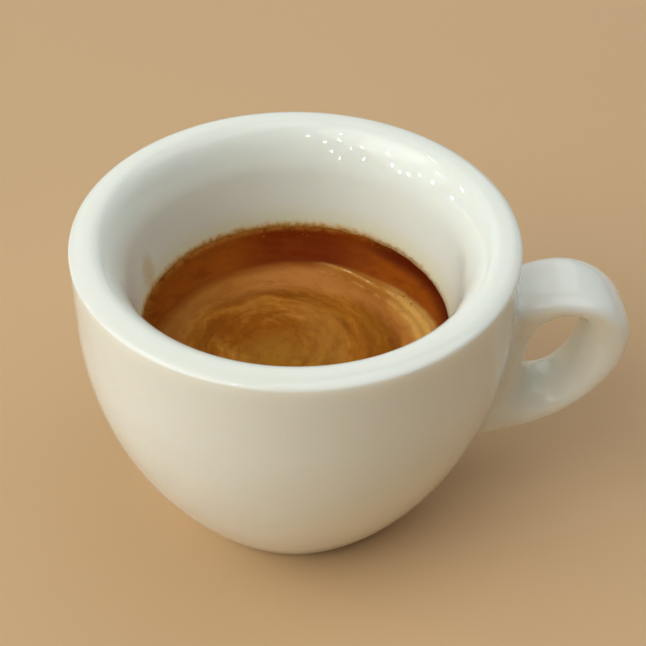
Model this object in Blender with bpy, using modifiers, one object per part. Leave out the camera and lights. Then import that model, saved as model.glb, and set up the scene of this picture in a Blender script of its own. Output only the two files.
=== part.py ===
"""An espresso shot in its thick-walled white porcelain cup.

Three solids: the cup with its strap handle, the coffee, and the crema on it.
The cup stands on z = 0 with its axis on Z, and the handle points along +X.
Lengths below are in millimetres and are scaled to metres where meshes are made.
"""

from math import atan, cos, pi, radians, sin, sqrt

import bmesh
import bpy
from mathutils import Vector
from mathutils.geometry import interpolate_bezier

MM = 0.001
GAP = 0.3
TURN_STEPS = 64

# Outside of the bowl, from the flat foot up to the straight side
CUP_RADIUS = 33.0
FOOT_RADIUS = 18.1
FOOT_ROUND = 1.2
FOOT_POINTS = 3
BELLY_HEIGHT = 38.8
BELLY_POWER = 2.09
BELLY_POINTS = 15

# The lip: broad, with its outer edge rounded over more tightly than its inner one
CUP_HEIGHT = 51.7
LIP_SIDE_HEIGHT = 50.8
LIP_CREST_RADIUS = 30.0
LIP_POINTS = 5

# Inside: flared mouth, nearly straight wall, egg-shaped bottom
WALL_TOP_HEIGHT = 44.0
WALL_SLOPE = 0.145
MOUTH_POINTS = 7
FLOOR_HEIGHT = 6.0
HOLLOW_POWER = 2.1
HOLLOW_POINTS = 9

# The drink
SURFACE_HEIGHT = 34.1
SURFACE_RADIUS = 23.6
CREMA_DEPTH = 3.0
CREEP_HEIGHT = 0.7
CREEP_WIDTH = 1.6
CREEP_POINTS = 4

# The finger hole, a leaning oval, seen along the cup's side
HOLE_CENTRE = (40.3, 30.2)
HOLE_HALF_HEIGHT = 7.55
HOLE_HALF_WIDTH = 3.75
HOLE_LEAN = 79.6
HOLE_POWER = 2.5

# The handle's outer edge: distance from the cup's axis, height, and direction of travel in degrees
ROOT_TOP = (28.0, 37.6, 37.0)
CROWN = (40.1, 42.3, 0.0)
OUTERMOST = (51.4, 33.1, -90.0)
HEEL = (33.9, 13.8, -162.0)
ROOT_BOTTOM = (24.5, 11.5, 180.0)
EDGE_REACH = ((4.0, 5.6), (5.6, 5.9), (10.1, 5.5), (4.0, 3.0))
EDGE_POINTS = 14

# The strap: its width at the top, outside, bottom and wall. Its outer face is flat with
# rounded edges and its inner face is an oval, and it is widest near the outer face.
STRAP_TOP_WIDTH = 12.3
STRAP_OUTER_WIDTH = 11.8
STRAP_BOTTOM_WIDTH = 11.4
STRAP_ROOT_WIDTH = 10.8
OUTER_ROUNDNESS = 3.0
INNER_ROUNDNESS = 2.0
WIDEST_SHARE = 0.62
STRAP_SECTIONS = 48
STRAP_SIDES = 16
ROOT_FILLET = 1.6


def clear_scene():
    for old in list(bpy.data.objects):
        bpy.data.objects.remove(old)


def new_collection(name):
    collection = bpy.data.collections.new(name)
    bpy.context.scene.collection.children.link(collection)
    return collection


def new_material(name, colour, roughness):
    material = bpy.data.materials.new(name)
    material.use_nodes = True
    shader = material.node_tree.nodes["Principled BSDF"]
    shader.inputs["Base Color"].default_value = (*colour, 1.0)
    shader.inputs["Roughness"].default_value = roughness
    shader.inputs["Metallic"].default_value = 0.0
    return material


def add_mesh_object(name, mesh, collection, material):
    mesh.materials.append(material)
    piece = bpy.data.objects.new(name, mesh)
    collection.objects.link(piece)
    return piece


def turn(name, profile, collection, material):
    """Turn a profile of (radius, height) points, in mm, once round the Z axis."""
    mesh = bpy.data.meshes.new(name)
    points = [(radius * MM, 0.0, height * MM) for radius, height in profile]
    edges = [(i, i + 1) for i in range(len(points) - 1)]
    mesh.from_pydata(points, edges, [])
    piece = add_mesh_object(name, mesh, collection, material)
    screw = piece.modifiers.new("turned", "SCREW")
    screw.axis = "Z"
    screw.steps = TURN_STEPS
    screw.render_steps = TURN_STEPS
    screw.use_merge_vertices = True
    screw.merge_threshold = 0.00001
    screw.use_smooth_shade = True
    return piece


def belly_radius(height):
    """Outer radius of the bowl, which fills out quickly above the foot."""
    share = min(height / BELLY_HEIGHT, 1.0)
    return FOOT_RADIUS + (CUP_RADIUS - FOOT_RADIUS) * (1.0 - (1.0 - share) ** BELLY_POWER)


def wall_radius(height):
    """Inner radius of the nearly straight wall."""
    return SURFACE_RADIUS + WALL_SLOPE * (height - SURFACE_HEIGHT)


def hollow_radius(height):
    """Inner radius anywhere below the flared mouth."""
    if height >= SURFACE_HEIGHT:
        return wall_radius(height)
    fall = (SURFACE_HEIGHT - height) / (SURFACE_HEIGHT - FLOOR_HEIGHT)
    tilt = WALL_SLOPE * (SURFACE_HEIGHT - height) * (1.0 - fall)
    return SURFACE_RADIUS * (1.0 - fall ** HOLLOW_POWER) ** (1.0 / HOLLOW_POWER) - tilt


def hollow_profile(top, inset):
    """The hollow from its floor's centre up to a height, moved in by inset."""
    bottom = FLOOR_HEIGHT + inset
    points = [(0.0, bottom)]
    for i in range(1, HOLLOW_POINTS + 1):
        turn_angle = radians(90.0) * i / HOLLOW_POINTS
        height = top - (top - bottom) * cos(turn_angle)
        points.append((hollow_radius(height) - inset, height))
    return points


def lip_profile():
    """A quarter oval from the crest out and down to the straight side."""
    points = []
    for i in range(LIP_POINTS + 1):
        angle = radians(90.0) * i / LIP_POINTS
        radius = LIP_CREST_RADIUS + (CUP_RADIUS - LIP_CREST_RADIUS) * sin(angle)
        height = LIP_SIDE_HEIGHT + (CUP_HEIGHT - LIP_SIDE_HEIGHT) * cos(angle)
        points.append((radius, height))
    return points


def bowl_profile():
    """From the foot of the straight side down the belly, round the foot's edge and in."""
    slope = (CUP_RADIUS - FOOT_RADIUS) * BELLY_POWER / BELLY_HEIGHT
    lean = atan(slope)
    foot_top = FOOT_ROUND * (1.0 - sin(lean))
    foot_centre = belly_radius(foot_top) - FOOT_ROUND * cos(lean)
    points = []
    for i in range(BELLY_POINTS):
        height = BELLY_HEIGHT + (foot_top - BELLY_HEIGHT) * i / BELLY_POINTS
        points.append((belly_radius(height), height))
    for i in range(FOOT_POINTS + 1):
        angle = lean + (radians(90.0) - lean) * i / FOOT_POINTS
        points.append((foot_centre + FOOT_ROUND * cos(angle), FOOT_ROUND * (1.0 - sin(angle))))
    points.append((0.0, 0.0))
    return points


def mouth_profile():
    """The flared mouth, a quarter oval from the crest in and down to the wall."""
    points = []
    wall = wall_radius(CUP_HEIGHT)
    for i in range(1, MOUTH_POINTS + 1):
        angle = radians(90.0) * i / MOUTH_POINTS
        height = WALL_TOP_HEIGHT + (CUP_HEIGHT - WALL_TOP_HEIGHT) * cos(angle)
        flare = (LIP_CREST_RADIUS - wall) * (1.0 - sin(angle))
        points.append((wall_radius(height) + flare, height))
    return points


def cup_profile():
    """The whole wall: out over the lip, down to the foot, and the hollow back to the crest."""
    inside = hollow_profile(SURFACE_HEIGHT, 0.0) + list(reversed(mouth_profile()))
    return inside + lip_profile() + bowl_profile()


def strap_edge():
    """The handle's outer edge as a closed ring of (distance, height) points."""
    knots = (ROOT_TOP, CROWN, OUTERMOST, HEEL, ROOT_BOTTOM)
    ring = []
    for start, end, reach in zip(knots[:-1], knots[1:], EDGE_REACH):
        first = Vector(start[:2])
        last = Vector(end[:2])
        leave = Vector((cos(radians(start[2])), sin(radians(start[2]))))
        arrive = Vector((cos(radians(end[2])), sin(radians(end[2]))))
        curve = interpolate_bezier(
            first, first + leave * reach[0], last - arrive * reach[1], last, EDGE_POINTS)
        ring.extend(curve[:-1])
    ring.append(Vector(ROOT_BOTTOM[:2]))
    ring.append(Vector(ROOT_TOP[:2]))
    return ring


def reach_of_edge(ring, angle):
    """Distance from the hole's centre to the outer edge in one direction."""
    centre = Vector(HOLE_CENTRE)
    ray = Vector((cos(angle), sin(angle)))
    side = Vector((-ray.y, ray.x))
    best = 0.0
    for a, b in zip(ring, ring[1:] + ring[:1]):
        off_a = (a - centre).dot(side)
        off_b = (b - centre).dot(side)
        if (off_a > 0.0) != (off_b > 0.0):
            crossing = a + (b - a) * (off_a / (off_a - off_b))
            best = max(best, (crossing - centre).dot(ray))
    return best


def reach_of_hole(angle):
    """Distance from the hole's centre to its rim, on a leaning squarish oval."""
    along = abs(cos(angle - radians(HOLE_LEAN))) / HOLE_HALF_HEIGHT
    across = abs(sin(angle - radians(HOLE_LEAN))) / HOLE_HALF_WIDTH
    return (along ** HOLE_POWER + across ** HOLE_POWER) ** (-1.0 / HOLE_POWER)


def strap_width(angle):
    """Width of the strap, blended between its four sides."""
    outward = 0.5 + 0.5 * cos(angle)
    level = STRAP_ROOT_WIDTH + (STRAP_OUTER_WIDTH - STRAP_ROOT_WIDTH) * outward
    mean = 0.5 * (STRAP_ROOT_WIDTH + STRAP_OUTER_WIDTH)
    end = STRAP_TOP_WIDTH if sin(angle) > 0.0 else STRAP_BOTTOM_WIDTH
    return level + (end - mean) * sin(angle) ** 2


def rounded(value, roundness):
    """Ease a cosine or sine towards the flat sides of a rounded section."""
    return abs(value) ** (2.0 / roundness) * (1.0 if value >= 0.0 else -1.0)


def fillet_offset(point):
    """How far the strap swells where it runs into the bowl, as a quarter-round fillet."""
    clearance = sqrt(point.x ** 2 + point.y ** 2) - belly_radius(point.z)
    depth = min(max(ROOT_FILLET - clearance, 0.0), ROOT_FILLET)
    return ROOT_FILLET - sqrt(ROOT_FILLET ** 2 - depth ** 2)


def make_strap(collection, material):
    """The closed loop of the handle, lofted round the finger hole."""
    ring = strap_edge()
    shape = bmesh.new()
    loops = []
    for i in range(STRAP_SECTIONS):
        angle = 2.0 * pi * i / STRAP_SECTIONS
        inner = reach_of_hole(angle)
        outer = reach_of_edge(ring, angle)
        middle = inner + WIDEST_SHARE * (outer - inner)
        half_width = 0.5 * strap_width(angle)
        ray = Vector((cos(angle), 0.0, sin(angle)))
        centre = Vector((HOLE_CENTRE[0], 0.0, HOLE_CENTRE[1]))
        loop = []
        for j in range(STRAP_SIDES):
            turn_angle = 2.0 * pi * j / STRAP_SIDES
            outer_half = j <= STRAP_SIDES / 2
            roundness = OUTER_ROUNDNESS if outer_half else INNER_ROUNDNESS
            depth = outer - middle if outer_half else middle - inner
            outward = Vector((0.0, cos(turn_angle), 0.0)) + ray * sin(turn_angle)
            point = centre + ray * (middle + depth * rounded(sin(turn_angle), roundness))
            point.y = half_width * rounded(cos(turn_angle), roundness)
            point += outward * fillet_offset(point)
            loop.append(shape.verts.new(point * MM))
        loops.append(loop)
    for loop, following in zip(loops, loops[1:] + loops[:1]):
        for j in range(STRAP_SIDES):
            k = (j + 1) % STRAP_SIDES
            shape.faces.new((loop[j], loop[k], following[k], following[j]))
    bmesh.ops.recalc_face_normals(shape, faces=shape.faces)
    mesh = bpy.data.meshes.new("strap")
    shape.to_mesh(mesh)
    shape.free()
    mesh.shade_smooth()
    strap = add_mesh_object("strap", mesh, collection, material)
    strap.hide_render = True
    strap.display_type = "WIRE"
    return strap


def make_cup(collection, tools):
    """Glazed porcelain bowl with the strap handle fused to it."""
    porcelain = new_material("glazed_porcelain", (0.83, 0.82, 0.77), 0.12)
    cup = turn("cup", cup_profile(), collection, porcelain)
    join = cup.modifiers.new("handle joined", "BOOLEAN")
    join.operation = "UNION"
    join.solver = "EXACT"
    join.object = make_strap(tools, porcelain)
    return cup


def make_espresso(collection):
    """The coffee under the crema, filling the hollow."""
    coffee = new_material("black_coffee", (0.05, 0.015, 0.006), 0.1)
    top = SURFACE_HEIGHT - CREMA_DEPTH
    profile = [(0.0, top)] + list(reversed(hollow_profile(top, GAP)))
    return turn("espresso", profile, collection, coffee)


def make_crema(collection):
    """The foam layer, which creeps a little up the wall at its edge."""
    foam = new_material("crema_foam", (0.33, 0.13, 0.03), 0.3)
    bottom = SURFACE_HEIGHT - CREMA_DEPTH + GAP
    profile = [(0.0, SURFACE_HEIGHT)]
    for i in range(CREEP_POINTS + 1):
        share = i / CREEP_POINTS
        height = SURFACE_HEIGHT + CREEP_HEIGHT * share ** 2
        radius = wall_radius(height) - GAP - CREEP_WIDTH * (1.0 - share)
        profile.append((radius, height))
    profile.append((hollow_radius(SURFACE_HEIGHT) - GAP, SURFACE_HEIGHT))
    profile.append((hollow_radius(bottom) - GAP, bottom))
    profile.append((0.0, bottom))
    return turn("crema", profile, collection, foam)


clear_scene()
parts = new_collection("espresso_shot")
cutters = new_collection("cutters")
make_cup(parts, cutters)
make_espresso(parts)
make_crema(parts)
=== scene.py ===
"""An espresso shot in its thick-walled white porcelain cup, finished for rendering.

Sizes are in millimetres, apart from those of the floor and the lights, which are in metres.
"""

import random
from math import atan, cos, hypot, pi, radians, sin, sqrt

import bmesh
import bpy
from mathutils import Matrix, Vector, noise
from mathutils.geometry import interpolate_bezier


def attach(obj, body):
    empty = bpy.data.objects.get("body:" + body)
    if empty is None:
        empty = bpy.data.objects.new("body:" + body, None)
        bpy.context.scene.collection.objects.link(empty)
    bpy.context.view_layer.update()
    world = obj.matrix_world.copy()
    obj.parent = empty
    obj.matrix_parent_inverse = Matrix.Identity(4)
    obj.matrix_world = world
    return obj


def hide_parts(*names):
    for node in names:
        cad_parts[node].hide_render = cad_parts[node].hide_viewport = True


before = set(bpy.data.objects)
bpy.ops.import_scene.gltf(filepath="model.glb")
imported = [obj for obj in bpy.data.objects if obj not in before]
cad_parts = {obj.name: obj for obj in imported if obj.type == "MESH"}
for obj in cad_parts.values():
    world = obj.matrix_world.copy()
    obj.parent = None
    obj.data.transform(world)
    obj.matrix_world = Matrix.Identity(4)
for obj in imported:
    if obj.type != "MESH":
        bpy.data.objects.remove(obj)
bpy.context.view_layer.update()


# The cup's bowl is slip-cast porcelain, fired and dipped in clear glaze, with a wall so thick
# that it keeps a small drink hot. It is a turned form: a flat foot, a full belly, an upright
# side, and a broad lip that rolls over into a flared mouth and an egg-shaped hollow.
MM = 0.001
CUP_RADIUS = 33.0
FOOT_RADIUS = 18.1
FOOT_ROUND = 1.2
BELLY_HEIGHT = 38.8
BELLY_POWER = 2.09
CUP_HEIGHT = 51.7
LIP_SIDE_HEIGHT = 50.8
LIP_CREST_RADIUS = 30.0
WALL_TOP_HEIGHT = 44.0
WALL_SLOPE = 0.145
FLOOR_HEIGHT = 6.0
HOLLOW_POWER = 2.1
SURFACE_HEIGHT = 34.1
SURFACE_RADIUS = 23.6
HOLLOW_POINTS = 30
MOUTH_POINTS = 36
LIP_POINTS = 16
SIDE_POINTS = 8
BELLY_POINTS = 44
FOOT_POINTS = 8
BOWL_STEPS = 200
SEAM_REACH = 0.01
QUARTER_TURN = radians(90.0)


def belly_radius(height):
    """Outer radius of the bowl, which fills out quickly above the foot."""
    share = min(max(height / BELLY_HEIGHT, 0.0), 1.0)
    return FOOT_RADIUS + (CUP_RADIUS - FOOT_RADIUS) * (1.0 - (1.0 - share) ** BELLY_POWER)


def wall_radius(height):
    """Inner radius of the nearly straight wall."""
    return SURFACE_RADIUS + WALL_SLOPE * (height - SURFACE_HEIGHT)


def hollow_radius(height):
    """Inner radius of the egg-shaped bottom, below the drink's level."""
    fall = (SURFACE_HEIGHT - height) / (SURFACE_HEIGHT - FLOOR_HEIGHT)
    tilt = WALL_SLOPE * (SURFACE_HEIGHT - height) * (1.0 - fall)
    return SURFACE_RADIUS * (1.0 - fall ** HOLLOW_POWER) ** (1.0 / HOLLOW_POWER) - tilt


def hollow_profile(top, grow, points):
    """The hollow from its floor's centre up to a height, grown into the wall."""
    bottom = FLOOR_HEIGHT
    rows = [(0.0, bottom - grow)]
    for i in range(1, points + 1):
        height = top - (top - bottom) * cos(QUARTER_TURN * i / points)
        rows.append((hollow_radius(height) + grow, height - grow * (1.0 - i / points)))
    return rows


def bowl_profile():
    """The whole wall, from the hollow's floor over the lip and down to the foot."""
    rows = hollow_profile(SURFACE_HEIGHT, 0.0, HOLLOW_POINTS)
    flare = LIP_CREST_RADIUS - wall_radius(CUP_HEIGHT)
    for i in range(1, MOUTH_POINTS + 1):
        angle = QUARTER_TURN * i / MOUTH_POINTS
        height = WALL_TOP_HEIGHT + (CUP_HEIGHT - WALL_TOP_HEIGHT) * sin(angle)
        rows.append((wall_radius(height) + flare * (1.0 - cos(angle)), height))
    for i in range(1, LIP_POINTS):
        angle = QUARTER_TURN * i / LIP_POINTS
        radius = LIP_CREST_RADIUS + (CUP_RADIUS - LIP_CREST_RADIUS) * sin(angle)
        rows.append((radius, LIP_SIDE_HEIGHT + (CUP_HEIGHT - LIP_SIDE_HEIGHT) * cos(angle)))
    for i in range(SIDE_POINTS):
        fall = (BELLY_HEIGHT - LIP_SIDE_HEIGHT) * i / SIDE_POINTS
        rows.append((CUP_RADIUS, LIP_SIDE_HEIGHT + fall))
    lean = atan((CUP_RADIUS - FOOT_RADIUS) * BELLY_POWER / BELLY_HEIGHT)
    foot_top = FOOT_ROUND * (1.0 - sin(lean))
    foot_centre = belly_radius(foot_top) - FOOT_ROUND * cos(lean)
    for i in range(BELLY_POINTS):
        height = BELLY_HEIGHT + (foot_top - BELLY_HEIGHT) * i / BELLY_POINTS
        rows.append((belly_radius(height), height))
    for i in range(FOOT_POINTS + 1):
        angle = lean + (QUARTER_TURN - lean) * i / FOOT_POINTS
        rows.append((foot_centre + FOOT_ROUND * cos(angle), FOOT_ROUND * (1.0 - sin(angle))))
    return rows + [(0.0, 0.0)]


def turn(name, profile, steps):
    """Turn (radius, height) points once round the Z axis and give back a plain mesh object."""
    mesh = bpy.data.meshes.new(name)
    points = [(radius * MM, 0.0, height * MM) for radius, height in profile]
    mesh.from_pydata(points, [(i, i + 1) for i in range(len(points) - 1)], [])
    piece = bpy.data.objects.new(name, mesh)
    bpy.context.scene.collection.objects.link(piece)
    screw = piece.modifiers.new("turned", "SCREW")
    screw.axis = "Z"
    screw.steps = steps
    screw.render_steps = steps
    screw.use_merge_vertices = True
    screw.merge_threshold = SEAM_REACH * MM
    settle(piece)
    return piece


def settle(piece):
    """Apply a piece's modifiers and shade it smooth."""
    graph = bpy.context.evaluated_depsgraph_get()
    mesh = bpy.data.meshes.new_from_object(piece.evaluated_get(graph))
    piece.modifiers.clear()
    piece.data = mesh
    mesh.name = piece.name
    mesh.shade_smooth()


cup = turn("porcelain_cup", bowl_profile(), BOWL_STEPS)


# The handle is a strap of the same porcelain, cast apart and stuck on with slip before firing.
# It loops round a leaning oval finger hole, is widest on top where the thumb presses, and
# swells softly into the bowl. Its outer face is flat with rounded edges, its inner one an oval.
HOLE_CENTRE = Vector((40.3, 30.2))
HOLE_HALF_HEIGHT = 7.55
HOLE_HALF_WIDTH = 3.75
HOLE_LEAN = 79.6
HOLE_POWER = 2.5

# the outer edge passes these places (distance, height) with these headings in degrees, and
# each stretch of it keeps its first and its last heading for so long
EDGE_KNOTS = (
    (28.0, 37.6, 37.0),
    (40.1, 42.3, 0.0),
    (51.39, 33.1, -90.0),
    (33.9, 13.8, -162.0),
    (24.5, 11.5, 180.0),
)
EDGE_REACH = ((4.0, 5.6), (5.6, 5.9), (10.1, 5.5), (4.0, 3.0))
EDGE_POINTS = 60
STRAP_TOP_WIDTH = 12.3
STRAP_OUTER_WIDTH = 11.8
STRAP_BOTTOM_WIDTH = 11.4
STRAP_ROOT_WIDTH = 10.8
OUTER_ROUNDNESS = 3.0
INNER_ROUNDNESS = 2.0
WIDEST_SHARE = 0.62
STRAP_SECTIONS = 132
STRAP_SIDES = 44
ROOT_FILLET = 1.6


def strap_edge():
    """The handle's outer edge as a closed ring of (distance, height) points."""
    ring = []
    for start, end, reach in zip(EDGE_KNOTS[:-1], EDGE_KNOTS[1:], EDGE_REACH):
        first = Vector(start[:2])
        last = Vector(end[:2])
        leave = Vector((cos(radians(start[2])), sin(radians(start[2]))))
        arrive = Vector((cos(radians(end[2])), sin(radians(end[2]))))
        ring.extend(interpolate_bezier(
            first, first + leave * reach[0], last - arrive * reach[1], last, EDGE_POINTS)[:-1])
    return ring + [Vector(EDGE_KNOTS[-1][:2]), Vector(EDGE_KNOTS[0][:2])]


def reach_of_edge(ring, angle):
    """Distance from the hole's centre to the outer edge in one direction."""
    ray = Vector((cos(angle), sin(angle)))
    side = Vector((-ray.y, ray.x))
    best = 0.0
    for a, b in zip(ring, ring[1:] + ring[:1]):
        off_a = (a - HOLE_CENTRE).dot(side)
        off_b = (b - HOLE_CENTRE).dot(side)
        if (off_a > 0.0) != (off_b > 0.0):
            crossing = a + (b - a) * (off_a / (off_a - off_b))
            best = max(best, (crossing - HOLE_CENTRE).dot(ray))
    return best


def reach_of_hole(angle):
    """Distance from the hole's centre to its rim, on a leaning squarish oval."""
    along = abs(cos(angle - radians(HOLE_LEAN))) / HOLE_HALF_HEIGHT
    across = abs(sin(angle - radians(HOLE_LEAN))) / HOLE_HALF_WIDTH
    return (along ** HOLE_POWER + across ** HOLE_POWER) ** (-1.0 / HOLE_POWER)


def strap_width(angle):
    """Width of the strap, blended between its four sides."""
    level = STRAP_ROOT_WIDTH + (STRAP_OUTER_WIDTH - STRAP_ROOT_WIDTH) * (0.5 + 0.5 * cos(angle))
    mean = 0.5 * (STRAP_ROOT_WIDTH + STRAP_OUTER_WIDTH)
    end = STRAP_TOP_WIDTH if sin(angle) > 0.0 else STRAP_BOTTOM_WIDTH
    return level + (end - mean) * sin(angle) ** 2


def rounded(value, roundness):
    """Ease a cosine or sine towards the flat sides of a rounded section."""
    return abs(value) ** (2.0 / roundness) * (1.0 if value >= 0.0 else -1.0)


def fillet_offset(point):
    """How far the strap swells where it runs into the bowl, as a quarter-round fillet."""
    clearance = hypot(point.x, point.y) - belly_radius(point.z)
    depth = min(max(ROOT_FILLET - clearance, 0.0), ROOT_FILLET)
    return ROOT_FILLET - sqrt(ROOT_FILLET ** 2 - depth ** 2)


ring = strap_edge()
shape = bmesh.new()
loops = []
for i in range(STRAP_SECTIONS):
    angle = 2.0 * pi * i / STRAP_SECTIONS
    inner = reach_of_hole(angle)
    outer = reach_of_edge(ring, angle)
    middle = inner + WIDEST_SHARE * (outer - inner)
    ray = Vector((cos(angle), 0.0, sin(angle)))
    loop = []
    for j in range(STRAP_SIDES):
        around = 2.0 * pi * j / STRAP_SIDES
        outer_half = j <= STRAP_SIDES / 2
        roundness = OUTER_ROUNDNESS if outer_half else INNER_ROUNDNESS
        depth = outer - middle if outer_half else middle - inner
        point = Vector((HOLE_CENTRE.x, 0.0, HOLE_CENTRE.y))
        point += ray * (middle + depth * rounded(sin(around), roundness))
        point.y = 0.5 * strap_width(angle) * rounded(cos(around), roundness)
        point += (Vector((0.0, cos(around), 0.0)) + ray * sin(around)) * fillet_offset(point)
        loop.append(shape.verts.new(point * MM))
    loops.append(loop)
for loop, following in zip(loops, loops[1:] + loops[:1]):
    for j in range(STRAP_SIDES):
        k = (j + 1) % STRAP_SIDES
        shape.faces.new((loop[j], loop[k], following[k], following[j]))
bmesh.ops.recalc_face_normals(shape, faces=shape.faces)
strap_mesh = bpy.data.meshes.new("strap")
shape.to_mesh(strap_mesh)
shape.free()
strap = bpy.data.objects.new("strap", strap_mesh)
bpy.context.scene.collection.objects.link(strap)
join = cup.modifiers.new("handle joined", "BOOLEAN")
join.operation = "UNION"
join.solver = "EXACT"
join.object = strap
settle(cup)
bpy.data.objects.remove(strap)


# White porcelain under a clear dipped glaze: the body gives an even, slightly warm white, and
# the glaze a hard gloss, with long soft waves where it ran and a fine orange peel. A pattern
# is laid out in millimetres, so its scale is one over its size.
PORCELAIN = "#F5F8F0"
PORCELAIN_WARM = "#F2F4E8"
BODY_CLOUD_SIZE = 25.0
SCATTER_SHARE = 0.7
SCATTER_REACH = 2.0
SCATTER_TINT = (1.0, 0.85, 0.7)
GLAZE_IOR = 1.5
GLAZE_ROUGHNESS = 0.04
GLAZE_RUN_SIZE = 9.0
ORANGE_PEEL_SIZE = 1.6
ORANGE_PEEL_SHARE = 0.06
GLAZE_WAVE_HEIGHT = 0.12
BARE_ROUGHNESS = 0.6
GLAZE_END_HEIGHT = 0.45
BARE_HEIGHT = 0.2
FILM_LUMP_SIZE = 0.9
FILM_LUMP_HEIGHT = 1.5
BACK_LEFT = (-0.022, 0.037, 0.0)      # times a place on the wall, it is 1 at the back left
DRIP_PLACE = (-22.9, 7.6, 38.0)
DRIP_SQUEEZE = (0.3, 0.38, 0.22)


def linear(code, alpha=1.0):
    """Turn an sRGB hex colour into the linear values that a shader takes."""
    values = []
    for i in (1, 3, 5):
        share = int(code[i:i + 2], 16) / 255.0
        values.append(share / 12.92 if share <= 0.04045 else ((share + 0.055) / 1.055) ** 2.4)
    return (*values, alpha)


def add_node(tree, kind, inputs, out=0, stops=(), **settings):
    """Add one node with its settings, feed its inputs, and give back one of its outputs."""
    made = tree.nodes.new(kind)
    for name, value in settings.items():
        setattr(made, name, value)
    for spot, value in inputs.items():
        if isinstance(value, bpy.types.NodeSocket):
            tree.links.new(value, made.inputs[spot])
        else:
            made.inputs[spot].default_value = value
    for i, (share, code) in enumerate(stops):
        stop = made.color_ramp.elements[i] if i < 2 else made.color_ramp.elements.new(share)
        stop.position = share
        stop.color = linear(code)
    return made.outputs[out]


def lay_shades(tree, colour, shades):
    """Lay shades over a colour. Each has its strength and the limits that it fades in between."""
    for code, strength, limits in shades:
        share = strength
        for value, start, end in limits:
            share = add_node(
                tree, "ShaderNodeMapRange", {0: value, 1: start, 2: end, 4: share},
                interpolation_type="SMOOTHSTEP")
        colour = add_node(
            tree, "ShaderNodeMix", {0: share, 6: colour, 7: linear(code)},
            out=2, data_type="RGBA")
    return colour


porcelain = bpy.data.materials.new("clear_glazed_porcelain")
porcelain.use_nodes = True
tree = porcelain.node_tree
glaze = tree.nodes["Principled BSDF"]
spot = add_node(tree, "ShaderNodeTexCoord", {}, out="Object")
place = add_node(tree, "ShaderNodeVectorMath", {0: spot, "Scale": 1 / MM}, operation="SCALE")
cloud = add_node(
    tree, "ShaderNodeTexNoise", {"Vector": place, "Scale": 1 / BODY_CLOUD_SIZE, "Detail": 3.0})
body_colour = add_node(
    tree, "ShaderNodeMix", {0: cloud, 6: linear(PORCELAIN), 7: linear(PORCELAIN_WARM)},
    out=2, data_type="RGBA")

# where each place lies: its height, its distance from the cup's axis, how far it is to the
# back left, and how far it is from the drip mark
level = add_node(tree, "ShaderNodeSeparateXYZ", {0: place}, out="Z")
flat = add_node(
    tree, "ShaderNodeVectorMath", {0: place, 1: (1.0, 1.0, 0.0)}, operation="MULTIPLY")
reach = add_node(tree, "ShaderNodeVectorMath", {0: flat}, out="Value", operation="LENGTH")
ragged = add_node(
    tree, "ShaderNodeTexNoise", {"Vector": place, "Scale": 1 / FILM_LUMP_SIZE, "Detail": 3.0})
ragged_level = add_node(
    tree, "ShaderNodeMath", {0: ragged, 1: -FILM_LUMP_HEIGHT, 2: level},
    operation="MULTIPLY_ADD")
back_left = add_node(
    tree, "ShaderNodeVectorMath", {0: place, 1: BACK_LEFT}, out="Value", operation="DOT_PRODUCT")
from_drip = add_node(
    tree, "ShaderNodeVectorMath", {0: place, 1: DRIP_PLACE}, operation="SUBTRACT")
from_drip = add_node(
    tree, "ShaderNodeVectorMath", {0: from_drip, 1: DRIP_SQUEEZE}, operation="MULTIPLY")
drip_reach = add_node(
    tree, "ShaderNodeVectorMath", {0: from_drip}, out="Value", operation="LENGTH")
above_hollow = (level, SURFACE_HEIGHT - 5.0, SURFACE_HEIGHT - 4.0)
inside = ((reach, 26.0, 25.5), above_hollow)
just_above = (ragged_level, SURFACE_HEIGHT + 1.2, SURFACE_HEIGHT - 0.5)
body_colour = lay_shades(tree, body_colour, (
    # the mouth's glaze is a cooler white, and is painted lighter too, as painted light in the
    # hollow
    ("#F7FEEF", 1.0, ((reach, 29.5, 27.5), above_hollow)),
    # towards the drink it turns cream: painted warm light, bounced up from the crema
    ("#F6F2D4", 0.9, ((level, SURFACE_HEIGHT + 6.0, SURFACE_HEIGHT + 0.5), *inside)),
    # the drink left an ochre film on the wall just above its level, strongest at the back left
    ("#E6B45C", 0.4, (just_above, *inside)),
    ("#E6B45C", 0.9, (just_above, *inside, (back_left, 0.1, 0.75))),
    ("#B47A30", 0.85, (
        (ragged_level, SURFACE_HEIGHT + 0.5, SURFACE_HEIGHT - 0.5), *inside,
        (back_left, -0.7, 0.3))),
    ("#B07A3C", 0.7, (
        (level, SURFACE_HEIGHT + 0.6, SURFACE_HEIGHT + 0.1), *inside, (back_left, 0.3, -0.7))),
    # a paler drip mark is higher up on the left, where the pour began
    ("#E2C084", 0.5, ((drip_reach, 1.0, 0.3), (ragged, 0.1, 0.5), *inside)),
    # the foot's flat is wiped clean of glaze before firing, so it is matt and a little greyer
    ("#E0DBCE", 1.0, ((level, GLAZE_END_HEIGHT, BARE_HEIGHT),)),
))
roughness = add_node(
    tree, "ShaderNodeMapRange",
    {0: level, 1: GLAZE_END_HEIGHT, 2: BARE_HEIGHT, 3: GLAZE_ROUGHNESS, 4: BARE_ROUGHNESS})
tree.links.new(body_colour, glaze.inputs["Base Color"])
tree.links.new(roughness, glaze.inputs["Roughness"])
glaze.inputs["IOR"].default_value = GLAZE_IOR
glaze.inputs["Subsurface Weight"].default_value = SCATTER_SHARE
glaze.inputs["Subsurface Radius"].default_value = SCATTER_TINT
glaze.inputs["Subsurface Scale"].default_value = SCATTER_REACH * MM
runs = add_node(
    tree, "ShaderNodeTexNoise", {"Vector": place, "Scale": 1 / GLAZE_RUN_SIZE, "Detail": 1.0})
peel = add_node(
    tree, "ShaderNodeTexNoise", {"Vector": place, "Scale": 1 / ORANGE_PEEL_SIZE, "Detail": 1.0})
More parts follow.
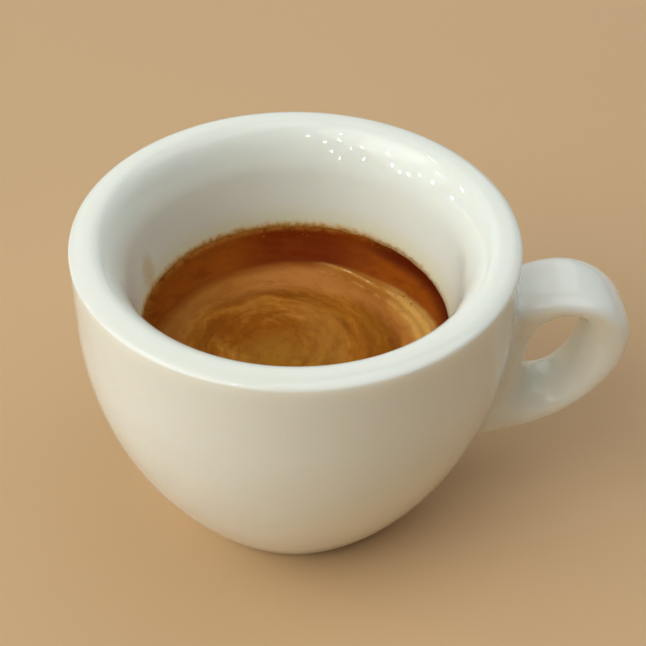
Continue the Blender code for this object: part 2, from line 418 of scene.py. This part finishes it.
waves = add_node(
    tree, "ShaderNodeMath", {0: peel, 1: ORANGE_PEEL_SHARE, 2: runs}, operation="MULTIPLY_ADD")
bump = add_node(
    tree, "ShaderNodeBump",
    {"Height": waves, "Strength": 1.0, "Distance": GLAZE_WAVE_HEIGHT * MM}, out="Normal")
tree.links.new(bump, glaze.inputs["Normal"])
cup.data.materials.clear()
cup.data.materials.append(porcelain)
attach(cup, "root")
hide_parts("cup")


# The coffee itself fills the hollow under the crema and runs a little into the wall, so that
# no gap shows. It is nearly black, smooth and wet, and is seen only where the foam thins out.
CREMA_DEPTH = 3.0
INTO_WALL = 0.25
COFFEE_POINTS = 24
COFFEE_STEPS = 96
COFFEE_DARK = "#2A1206"
COFFEE_LIGHT = "#3A1A08"
COFFEE_SWIRL_SCALE = 120.0      # swirls of 8 mm, laid out in metres
COFFEE_IOR = 1.34
COFFEE_ROUGHNESS = 0.08
coffee_top = SURFACE_HEIGHT - CREMA_DEPTH
coffee_side = hollow_profile(coffee_top, INTO_WALL, COFFEE_POINTS)
coffee = turn("black_coffee", [(0.0, coffee_top)] + list(reversed(coffee_side)), COFFEE_STEPS)
black_coffee = bpy.data.materials.new("black_coffee")
black_coffee.use_nodes = True
tree = black_coffee.node_tree
brew = tree.nodes["Principled BSDF"]
spot = add_node(tree, "ShaderNodeTexCoord", {}, out="Object")
swirl = add_node(
    tree, "ShaderNodeTexNoise", {"Vector": spot, "Scale": COFFEE_SWIRL_SCALE, "Detail": 2.0})
brew_colour = add_node(
    tree, "ShaderNodeMix", {0: swirl, 6: linear(COFFEE_DARK), 7: linear(COFFEE_LIGHT)},
    out=2, data_type="RGBA")
tree.links.new(brew_colour, brew.inputs["Base Color"])
brew.inputs["Roughness"].default_value = COFFEE_ROUGHNESS
brew.inputs["IOR"].default_value = COFFEE_IOR
coffee.data.materials.append(black_coffee)
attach(coffee, "root")
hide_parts("espresso")


# The crema is a fine foam of coffee oils and gas. It lies in faint folds round the place that
# the stream fell on, and the newest foam spread into a paler disc with a low rolled fold at
# its edge, short of the wall at the back. Where the foam creeps up the wall, it is ragged.
POUR_CENTRE = Vector((-3.5, -5.5))
DISC_CENTRE = Vector((0.0, -8.5))
DISC_REACH = 22.2
CREEP_HEIGHT = 0.7
CREEP_WIDTH = 1.6
CREEP_LEAST = 0.1
CREEP_MIDDLE = 0.25
CREEP_BACK_LEFT = 0.35
CREEP_RAGGED = 0.22
CREEP_COARSE = 9.0
CREEP_FINE = 30.0
CREEP_HIGH_WAY = Vector((-0.5, 0.866, 0.0))
FOLD_BACK_REACH = 23.0
FOLD_RIGHT_REACH = 21.2
FOLD_START = 4.0
FOLD_END = 13.0
FOLD_HEIGHT = 0.15
FOLD_HALF_WIDTH = 0.75
FOLD_LEAST = 0.15
FOLD_HIGH_WAY = Vector((0.77, 0.64))
INNER_FOLD_GAP = 1.9
INNER_FOLD_HALF_WIDTH = 0.5
STROKE_HEIGHT = 0.05
STROKES_ROUND = 1.6
STROKES_OUTWARD = 0.8
CALM_WIDTH = 3.0
FOAM_RINGS = 120
FOAM_CROWDING = 0.8
FOAM_STEPS = 480


def foam_creep(x, y):
    """How high the foam has climbed at the wall here: a ragged edge, highest at the back left."""
    along = Vector((x, y, 0.0)).normalized()
    ragged = noise.noise(along * CREEP_COARSE) + 0.5 * noise.noise(along * CREEP_FINE)
    back_left = max(0.0, along.dot(CREEP_HIGH_WAY))
    share = CREEP_MIDDLE + CREEP_BACK_LEFT * back_left + CREEP_RAGGED * ragged
    share = min(1.0, max(CREEP_LEAST, share))
    inward = SURFACE_RADIUS - hypot(x, y)
    return CREEP_HEIGHT * share * max(0.0, 1.0 - inward / CREEP_WIDTH) ** 2


def foam_height(x, y):
    """Level of the foam: nearly flat, with the folds of the pour and the disc's rolled edge."""
    away = Vector((x, y)) - POUR_CENTRE
    way = Vector((away.x, away.y, 0.0)).normalized()
    outward = Vector((0.0, 0.0, away.length * STROKES_OUTWARD))
    strokes = noise.noise(way * STROKES_ROUND + outward)
    calm = min(1.0, max(0.0, (SURFACE_RADIUS - hypot(x, y)) / CALM_WIDTH))
    from_disc = Vector((x, y)) - DISC_CENTRE
    turned = min(1.0, max(0.0, (x - FOLD_START) / (FOLD_END - FOLD_START)))
    turned = turned * turned * (3.0 - 2.0 * turned)
    off_fold = from_disc.length - FOLD_BACK_REACH + (FOLD_BACK_REACH - FOLD_RIGHT_REACH) * turned
    off_inner = off_fold + INNER_FOLD_GAP
    right_back = max(0.0, from_disc.normalized().dot(FOLD_HIGH_WAY))
    fold = FOLD_HEIGHT * (FOLD_LEAST + (1.0 - FOLD_LEAST) * right_back ** 3)
    fold *= 2.0 ** -(off_fold / FOLD_HALF_WIDTH) ** 2
    inner_fold = 0.5 * FOLD_HEIGHT * right_back ** 4
    inner_fold *= 2.0 ** -(off_inner / INNER_FOLD_HALF_WIDTH) ** 2
    relief = calm * (fold + inner_fold + STROKE_HEIGHT * strokes)
    return SURFACE_HEIGHT + relief + foam_creep(x, y)


# rings of points out to the wall and a little into it, closed below by the coffee's level
shape = bmesh.new()
centre = shape.verts.new((0.0, 0.0, foam_height(0.0, 0.0) * MM))
loops = []
shares = [(i / FOAM_RINGS) ** FOAM_CROWDING for i in range(1, FOAM_RINGS + 1)]
for share in shares + [1.0 + INTO_WALL / SURFACE_RADIUS]:
    loop = []
    for j in range(FOAM_STEPS):
        turned = 2.0 * pi * j / FOAM_STEPS
        edge = Vector((cos(turned), sin(turned))) * SURFACE_RADIUS
        widened = 1.0 + WALL_SLOPE * foam_creep(edge.x, edge.y) / SURFACE_RADIUS
        x, y = edge * share * widened
        loop.append(shape.verts.new(Vector((x, y, foam_height(x, y))) * MM))
    loops.append(loop)
radius = hollow_radius(coffee_top) + INTO_WALL
loop = []
for j in range(FOAM_STEPS):
    turned = 2.0 * pi * j / FOAM_STEPS
    low_edge = Vector((radius * cos(turned), radius * sin(turned), coffee_top))
    loop.append(shape.verts.new(low_edge * MM))
loops.append(loop)
for j in range(FOAM_STEPS):
    shape.faces.new((centre, loops[0][j], loops[0][(j + 1) % FOAM_STEPS]))
for loop, following in zip(loops[:-1], loops[1:]):
    for j in range(FOAM_STEPS):
        k = (j + 1) % FOAM_STEPS
        shape.faces.new((loop[j], following[j], following[k], loop[k]))
shape.faces.new(list(reversed(loops[-1])))
bmesh.ops.recalc_face_normals(shape, faces=shape.faces)
foam_mesh = bpy.data.meshes.new("crema_foam")
shape.to_mesh(foam_mesh)
shape.free()
foam_mesh.shade_smooth()
crema = bpy.data.objects.new("crema_foam", foam_mesh)
bpy.context.scene.collection.objects.link(crema)

# wet coffee foam: its fine bubbles scatter the light, so it is caramel all through and hardly
# shines, with pores that are too fine to show and are drawn coarser than they are
FOAM_IOR = 1.35
FOAM_ROUGHNESS = 0.32
FOAM_SHINE = 0.07
PORE_SIZE = 0.35
STROKE_RELIEF = 3.0
FOAM_BUMP_HEIGHT = 0.04
CARAMEL_STOPS = ((0.28, "#783C00"), (0.72, "#B27226"), (0.5, "#97570A"))
DRIFT_SIZE = 7.0
FAR_DRIFT = 3.4
NEAR_DRIFT = 1.4
STROKE_LENGTH = 3.2
STIR_CENTRE = (-7.5, -1.5, 0.0)
STIR_SQUEEZE = (1.0, 1.45, 0.0)
PALE_FRONT_CENTRE = (-3.5, -9.0, 0.0)
DARK_LINE_START = 15.0
DARK_LINE_END = 23.0
DARK_LINE_START_REACH = 21.7
DARK_LINE_END_REACH = 23.3
PATCH_SIZE = 8.0
CLOUD_SIZE = 3.5
GAP_SIZE = 2.5
PIT_SIZE = 1.3
SPECK_SIZE = 0.55
crema_foam = bpy.data.materials.new("wet_coffee_foam")
crema_foam.use_nodes = True
tree = crema_foam.node_tree
foam = tree.nodes["Principled BSDF"]
spot = add_node(tree, "ShaderNodeTexCoord", {}, out="Object")
place = add_node(tree, "ShaderNodeVectorMath", {0: spot, "Scale": 1 / MM}, operation="SCALE")
flat = add_node(
    tree, "ShaderNodeVectorMath", {0: place, 1: (1.0, 1.0, 0.0)}, operation="MULTIPLY")
across = add_node(tree, "ShaderNodeSeparateXYZ", {0: place}, out="X")
level = add_node(tree, "ShaderNodeSeparateXYZ", {0: place}, out="Z")
back_left = add_node(
    tree, "ShaderNodeVectorMath", {0: place, 1: BACK_LEFT}, out="Value", operation="DOT_PRODUCT")
wall_reach = add_node(tree, "ShaderNodeVectorMath", {0: flat}, out="Value", operation="LENGTH")

# the foam drifted as it settled: streaks moved by a few millimetres, the disc's edge by less
drift = add_node(
    tree, "ShaderNodeTexNoise", {"Vector": flat, "Scale": 1 / DRIFT_SIZE, "Detail": 3.0},
    out="Color")
drift = add_node(
    tree, "ShaderNodeVectorMath", {0: drift, 1: (0.5, 0.5, 0.5)}, operation="SUBTRACT")
far_drift = add_node(
    tree, "ShaderNodeVectorMath", {0: drift, 1: (FAR_DRIFT, FAR_DRIFT, 0.0)},
    operation="MULTIPLY")
near_drift = add_node(
    tree, "ShaderNodeVectorMath", {0: drift, 1: (NEAR_DRIFT, NEAR_DRIFT, 0.0)},
    operation="MULTIPLY")
moved = add_node(tree, "ShaderNodeVectorMath", {0: flat, 1: far_drift}, operation="ADD")
nudged = add_node(tree, "ShaderNodeVectorMath", {0: flat, 1: near_drift}, operation="ADD")

# strokes: streaks of paler and darker foam along circles round the pour, broken into wisps
from_pour = add_node(
    tree, "ShaderNodeVectorMath", {0: moved, 1: (*POUR_CENTRE, 0.0)}, operation="SUBTRACT")
pour_reach = add_node(
    tree, "ShaderNodeVectorMath", {0: from_pour}, out="Value", operation="LENGTH")
pour_way = add_node(tree, "ShaderNodeVectorMath", {0: from_pour}, operation="NORMALIZE")
rise = add_node(tree, "ShaderNodeCombineXYZ", {"Z": pour_reach})
long_way = add_node(
    tree, "ShaderNodeVectorMath", {0: pour_way, "Scale": STROKE_LENGTH}, operation="SCALE")
stroke_place = add_node(tree, "ShaderNodeVectorMath", {0: long_way, 1: rise}, operation="ADD")
strokes = add_node(
    tree, "ShaderNodeTexNoise",
    {"Vector": stroke_place, "Scale": 0.5, "Detail": 5.0, "Roughness": 0.62, "Distortion": 0.2})
caramel = add_node(tree, "ShaderNodeValToRGB", {"Fac": strokes}, stops=CARAMEL_STOPS)

# how far each place is from the stirred patch, the pale front, the disc, the fold and the
# wet line, and the small patches that break them up
from_stir = add_node(
    tree, "ShaderNodeVectorMath", {0: moved, 1: STIR_CENTRE}, operation="SUBTRACT")
from_stir = add_node(
    tree, "ShaderNodeVectorMath", {0: from_stir, 1: STIR_SQUEEZE}, operation="MULTIPLY")
stir_reach = add_node(
    tree, "ShaderNodeVectorMath", {0: from_stir}, out="Value", operation="LENGTH")
front_reach = add_node(
    tree, "ShaderNodeVectorMath", {0: moved, 1: PALE_FRONT_CENTRE},
    out="Value", operation="DISTANCE")
disc_reach = add_node(
    tree, "ShaderNodeVectorMath", {0: nudged, 1: (*DISC_CENTRE, 0.0)},
    out="Value", operation="DISTANCE")
fold_reach = add_node(
    tree, "ShaderNodeMapRange",
    {0: across, 1: FOLD_START, 2: FOLD_END, 3: FOLD_BACK_REACH, 4: FOLD_RIGHT_REACH},
    interpolation_type="SMOOTHSTEP")
off_fold = add_node(tree, "ShaderNodeMath", {0: disc_reach, 1: fold_reach}, operation="SUBTRACT")
dark_line_reach = add_node(
    tree, "ShaderNodeMapRange",
    {0: across, 1: DARK_LINE_START, 2: DARK_LINE_END, 3: DARK_LINE_START_REACH, 4: DARK_LINE_END_REACH})
off_dark_line = add_node(tree, "ShaderNodeMath", {0: wall_reach, 1: dark_line_reach}, operation="SUBTRACT")
patches = add_node(
    tree, "ShaderNodeTexNoise", {"Vector": moved, "Scale": 1 / PATCH_SIZE, "Detail": 2.0})
cloud = add_node(
    tree, "ShaderNodeTexNoise", {"Vector": flat, "Scale": 1 / CLOUD_SIZE, "Detail": 4.0})
gaps = add_node(
    tree, "ShaderNodeTexNoise", {"Vector": flat, "Scale": 1 / GAP_SIZE, "Detail": 2.0})
pits = add_node(
    tree, "ShaderNodeTexNoise", {"Vector": place, "Scale": 1 / PIT_SIZE, "Detail": 2.0})
specks = add_node(
    tree, "ShaderNodeTexNoise", {"Vector": flat, "Scale": 1 / SPECK_SIZE, "Detail": 1.0})
beside_disc = (disc_reach, DISC_REACH, DISC_REACH + 1.5)
on_fold = ((off_fold, -0.6, 0.0), (off_fold, 0.6, 0.0))
on_inner_fold = ((off_fold, -2.5, -1.9), (off_fold, -1.4, -1.9))
foam_colour = lay_shades(tree, caramel, (
    # inside the disc: calm at the pour, stirred to its left, paler in front and in an arc
    ("#9B5B0A", 0.8, ((pour_reach, 6.0, 2.0),)),
    ("#9C5E1A", 0.4, ((patches, 0.5, 0.68),)),
    ("#904C04", 0.7, ((stir_reach, 9.0, 4.0),)),
    ("#6A3604", 0.35, (
        (strokes, 0.47, 0.505), (strokes, 0.54, 0.505), (cloud, 0.42, 0.56),
        (stir_reach, 10.0, 5.0))),
    ("#A06C22", 0.6, ((front_reach, 8.0, 3.0),)),
    ("#AC742C", 0.5, (
        (pour_reach, 5.0, 7.0), (pour_reach, 13.5, 10.0), (across, -2.0, 3.0),
        (across, 10.0, 6.0))),
    ("#AB7324", 0.5, ((pour_reach, 6.6, 7.5), (pour_reach, 8.6, 7.7), (across, 0.0, 6.0))),
    ("#7A4600", 0.55, ((pour_reach, 14.2, 16.2), (pour_reach, 18.6, 17.0), (across, 8.0, 12.0))),
    # the disc's rim: tan, palest at the back and low on the right
    ("#A36426", 0.9, ((disc_reach, 15.5, 19.0),)),
    ("#B27034", 0.95, ((disc_reach, 14.5, 18.5), (across, -12.0, -3.0))),
    ("#A6651E", 0.8, ((disc_reach, 16.0, 20.0), (across, 4.0, 9.0))),
    ("#CC974C", 0.9, ((disc_reach, 17.4, 20.0), (across, 13.0, 18.0))),
    # old foam outside the disc: red-brown at the back, browner at the left, orange at the right
    ("#7E3C04", 0.75, ((disc_reach, 20.4, 22.6), (across, 8.0, 2.0))),
    ("#6A2200", 1.0, (beside_disc,)),
    ("#8A4206", 1.0, (beside_disc, (across, -3.0, -12.0))),
    ("#924402", 1.0, (beside_disc, (across, 5.0, 16.0))),
    ("#5A1C00", 0.35, ((cloud, 0.5, 0.7), (disc_reach, 22.4, 24.0))),
    ("#844A10", 0.25, ((cloud, 0.5, 0.3), (disc_reach, 22.4, 24.0), (across, 6.0, -6.0))),
    # streaks and small clouds that run through all of it
    ("#6C3404", 0.2, ((strokes, 0.5, 0.36),)),
    ("#C88C40", 0.16, ((strokes, 0.52, 0.68), (disc_reach, 23.0, 20.5), (pour_reach, 3.0, 7.0))),
    ("#74390A", 0.18, ((gaps, 0.5, 0.68),)),
    # the fold: two pale lines, paler foam with painted light on the crests, each with a painted
    # shadow beside it, and painted glints as bright streaks on the outer line
    ("#6E3E04", 0.2, ((off_fold, 1.8, 0.9), (off_fold, 0.2, 0.8), (across, 6.0, 10.0))),
    ("#7A4A10", 0.28, ((off_fold, -1.6, -1.0), (off_fold, -0.4, -0.9), (across, 6.0, 10.0))),
    ("#D39F55", 0.45, (*on_fold, (across, 2.0, 8.0), (gaps, 0.34, 0.5))),
    ("#D39F55", 0.4, (*on_inner_fold, (across, 3.0, 8.0), (gaps, 0.62, 0.46))),
    # painted glints: short bright streaks along the outer crest
    ("#FFE2B0", 0.6, (
        (off_fold, -0.35, 0.0), (off_fold, 0.35, 0.0), (across, 5.0, 8.0), (gaps, 0.54, 0.64))),
    # at the wall: a dark line at the right, and brown and ochre film where the foam dried
    ("#500D00", 0.9, ((off_dark_line, -1.8, 0.3), (across, 7.0, 17.0))),
    ("#7A3C04", 0.4, ((wall_reach, 22.6, 23.2), (across, 2.0, -6.0))),
    ("#5A2602", 0.4, ((pits, 0.45, 0.65), (wall_reach, 22.2, 23.2), (back_left, 0.5, 0.9))),
    ("#A96A24", 0.8, (
        (level, SURFACE_HEIGHT, SURFACE_HEIGHT + 0.35), (back_left, 0.0, 0.8),
        (pits, 0.8, 0.3))),
    # dark specks all over
    ("#5A2A06", 0.5, ((specks, 0.70, 0.76),)),
))
tree.links.new(foam_colour, foam.inputs["Base Color"])
foam.inputs["Roughness"].default_value = FOAM_ROUGHNESS
foam.inputs["IOR"].default_value = FOAM_IOR
foam.inputs["Specular IOR Level"].default_value = FOAM_SHINE
pores = add_node(
    tree, "ShaderNodeTexNoise", {"Vector": flat, "Scale": 1 / PORE_SIZE, "Detail": 2.0})
relief = add_node(
    tree, "ShaderNodeMath", {0: strokes, 1: STROKE_RELIEF, 2: pores}, operation="MULTIPLY_ADD")
bump = add_node(
    tree, "ShaderNodeBump",
    {"Height": relief, "Strength": 0.5, "Distance": FOAM_BUMP_HEIGHT * MM}, out="Normal")
tree.links.new(bump, foam.inputs["Normal"])
crema.data.materials.append(crema_foam)
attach(crema, "root")
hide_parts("crema")


# A few larger bubbles stand in the foam, most of them where it meets the wall at the back
# and some along the fold. Each is a dome of smooth, wet coffee film that glints.
BUBBLE_SEED = 11
BUBBLE_SIZES = (0.08, 0.22)
BUBBLE_SINK = 0.3
BUBBLE_DARK = "#6A3808"
BUBBLE_LIGHT = "#A86E28"
BUBBLE_TINT_SCALE = 400.0      # patches of 2.5 mm, laid out in metres
WALL_BUBBLES = 18
WALL_BUBBLE_TURNS = (20.0, 190.0, 125.0)      # first, last and likeliest angle
WALL_BUBBLE_GAP = 0.5
WALL_BUBBLE_SPREAD = 0.9
FOLD_BUBBLES = 10
FOLD_BUBBLE_TURNS = (22.0, 66.0)
FOLD_BUBBLE_OUTWARD = 0.3
FOLD_BUBBLE_SPREAD = 0.5
random.seed(BUBBLE_SEED)
shape = bmesh.new()
for i in range(WALL_BUBBLES + FOLD_BUBBLES):
    radius = random.uniform(*BUBBLE_SIZES)
    if i < WALL_BUBBLES:
        turned = radians(random.triangular(*WALL_BUBBLE_TURNS))
        spread = abs(random.gauss(0.0, WALL_BUBBLE_SPREAD))
        away = SURFACE_RADIUS - WALL_BUBBLE_GAP - radius - spread
        x = away * cos(turned)
        y = away * sin(turned)
    else:
        turned = radians(random.uniform(*FOLD_BUBBLE_TURNS))
        away = FOLD_RIGHT_REACH + random.gauss(FOLD_BUBBLE_OUTWARD, FOLD_BUBBLE_SPREAD)
        x = DISC_CENTRE.x + away * cos(turned)
        y = DISC_CENTRE.y + away * sin(turned)
    seat = Vector((x, y, foam_height(x, y) - BUBBLE_SINK * radius))
    bmesh.ops.create_uvsphere(
        shape, u_segments=12, v_segments=8, radius=radius * MM,
        matrix=Matrix.Translation(seat * MM))
bubble_mesh = bpy.data.meshes.new("foam_bubbles")
shape.to_mesh(bubble_mesh)
shape.free()
bubble_mesh.shade_smooth()
bubbles = bpy.data.objects.new("foam_bubbles", bubble_mesh)
bpy.context.scene.collection.objects.link(bubbles)
wet_film = bpy.data.materials.new("wet_coffee_bubble_film")
wet_film.use_nodes = True
tree = wet_film.node_tree
film = tree.nodes["Principled BSDF"]
spot = add_node(tree, "ShaderNodeTexCoord", {}, out="Object")
tint = add_node(
    tree, "ShaderNodeTexNoise", {"Vector": spot, "Scale": BUBBLE_TINT_SCALE, "Detail": 1.0})
film_colour = add_node(
    tree, "ShaderNodeMix", {0: tint, 6: linear(BUBBLE_DARK), 7: linear(BUBBLE_LIGHT)},
    out=2, data_type="RGBA")
tree.links.new(film_colour, film.inputs["Base Color"])
film.inputs["Roughness"].default_value = COFFEE_ROUGHNESS
film.inputs["IOR"].default_value = COFFEE_IOR
bubble_mesh.materials.append(wet_film)
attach(bubbles, "root")


# The cup stands on a plain pale floor, matt and 8 m wide. Its warm tone also colours the
# light that reaches the underside of the bowl.
FLOOR_HALF = 4.0
FLOOR_COLOUR = "#D4AF83"
FLOOR_ROUGHNESS = 0.6
floor_mesh = bpy.data.meshes.new("floor")
floor_mesh.from_pydata(
    [(-FLOOR_HALF, -FLOOR_HALF, 0.0), (FLOOR_HALF, -FLOOR_HALF, 0.0),
     (FLOOR_HALF, FLOOR_HALF, 0.0), (-FLOOR_HALF, FLOOR_HALF, 0.0)], [], [(0, 1, 2, 3)])
floor = bpy.data.objects.new("floor", floor_mesh)
bpy.context.scene.collection.objects.link(floor)
pale_floor = bpy.data.materials.new("pale_floor")
pale_floor.use_nodes = True
board = pale_floor.node_tree.nodes["Principled BSDF"]
board.inputs["Base Color"].default_value = linear(FLOOR_COLOUR)
board.inputs["Roughness"].default_value = FLOOR_ROUGHNESS
floor_mesh.materials.append(pale_floor)


# Plain soft studio light comes from six large round sources: two strong ones on the left, high
# and low, one high on the right, one behind, and two weak ones on the right. Small bright panes
# on the left and in front, some low and some high, give the sharp glints on the glaze.
AIM_HEIGHT = 0.035
SOFT_DISTANCE = 2.0
SOFT_SIZE = (2.0, 2.0)
SOFT_LIGHTS = (      # name, azimuth, elevation, power, colour
    ("high_left", 210.0, 50.0, 17.0, "#FFFDF8"),
    ("left", 195.0, 30.0, 13.4, "#F7FFFE"),
    ("high_right", 0.0, 70.0, 12.6, "#FDFDFF"),
    ("right", 0.0, 50.0, 1.6, "#D6EEFF"),
    ("behind_right", 45.0, 30.0, 3.3, "#ECFFFD"),
    ("behind", 90.0, 30.0, 7.7, "#FCFFFA"),
)
PANE_DISTANCE = 1.3
PANE_SIZE = (0.04, 0.12)
PANE_POWER = 0.2
PANE_COLOUR = "#F8FFFC"
PANES = (      # azimuth, elevation
    (158.0, 51.0), (153.0, 29.0), (162.0, 7.0), (172.0, 30.0), (178.0, 11.0),
    (188.0, 14.0), (196.0, 9.0), (202.0, 7.5), (207.0, 14.0), (210.0, 31.0),
    (226.0, 11.5), (234.0, 24.7), (241.5, 7.6), (247.0, 16.6), (226.0, 30.0),
    (240.0, 39.0), (251.0, 33.0), (234.0, 55.0), (262.0, 45.0),
)
ROOM_COLOUR = "#F4F6F4"
ROOM_STRENGTH = 0.01


def hang_light(name, outline, azimuth, elevation, distance, size, power, colour):
    """Hang a light in one direction from the cup, facing it."""
    lamp = bpy.data.lights.new(name, "AREA")
    lamp.shape = outline
    lamp.energy = power
    lamp.size, lamp.size_y = size
    lamp.color = linear(colour)[:3]
    holder = bpy.data.objects.new(name, lamp)
    way = Vector((cos(radians(azimuth)) * cos(radians(elevation)),
                  sin(radians(azimuth)) * cos(radians(elevation)), sin(radians(elevation))))
    holder.location = Vector((0.0, 0.0, AIM_HEIGHT)) + way * distance
    holder.rotation_euler = way.to_track_quat("Z", "Y").to_euler()
    bpy.context.scene.collection.objects.link(holder)


for name, azimuth, elevation, power, colour in SOFT_LIGHTS:
    hang_light(name, "ELLIPSE", azimuth, elevation, SOFT_DISTANCE, SOFT_SIZE, power, colour)
for i, (azimuth, elevation) in enumerate(PANES):
    hang_light(f"pane_{i}", "RECTANGLE", azimuth, elevation, PANE_DISTANCE, PANE_SIZE,
               PANE_POWER, PANE_COLOUR)
room = bpy.data.worlds.new("room")
room.use_nodes = True
bpy.context.scene.world = room
room.node_tree.nodes["Background"].inputs["Color"].default_value = linear(ROOM_COLOUR)
room.node_tree.nodes["Background"].inputs["Strength"].default_value = ROOM_STRENGTH


# The camera looks down on the cup at 41 degrees from the front, from about 20 cm away, and is
# rolled by one degree. Its place and its lens are in millimetres, and its angles in degrees.
CAMERA_PLACE = (-3.18, -156.83, 171.39)
CAMERA_PITCH = -41.26
CAMERA_YAW = 2.68
CAMERA_ROLL = 1.08
CAMERA_LENS = 75.23
SENSOR_WIDTH = 36.0
NEAREST_SEEN = 10.0
camera_data = bpy.data.cameras.new("camera")
camera_data.sensor_width = SENSOR_WIDTH
camera_data.lens = CAMERA_LENS
camera_data.clip_start = NEAREST_SEEN * MM
camera = bpy.data.objects.new("camera", camera_data)
camera.matrix_world = (
    Matrix.Translation(Vector(CAMERA_PLACE) * MM)
    @ Matrix.Rotation(radians(-CAMERA_YAW), 4, "Z")
    @ Matrix.Rotation(radians(90.0 + CAMERA_PITCH), 4, "X")
    @ Matrix.Rotation(radians(CAMERA_ROLL), 4, "Z"))
bpy.context.scene.collection.objects.link(camera)
bpy.context.scene.camera = camera
bpy.context.scene.view_settings.view_transform = "Standard"
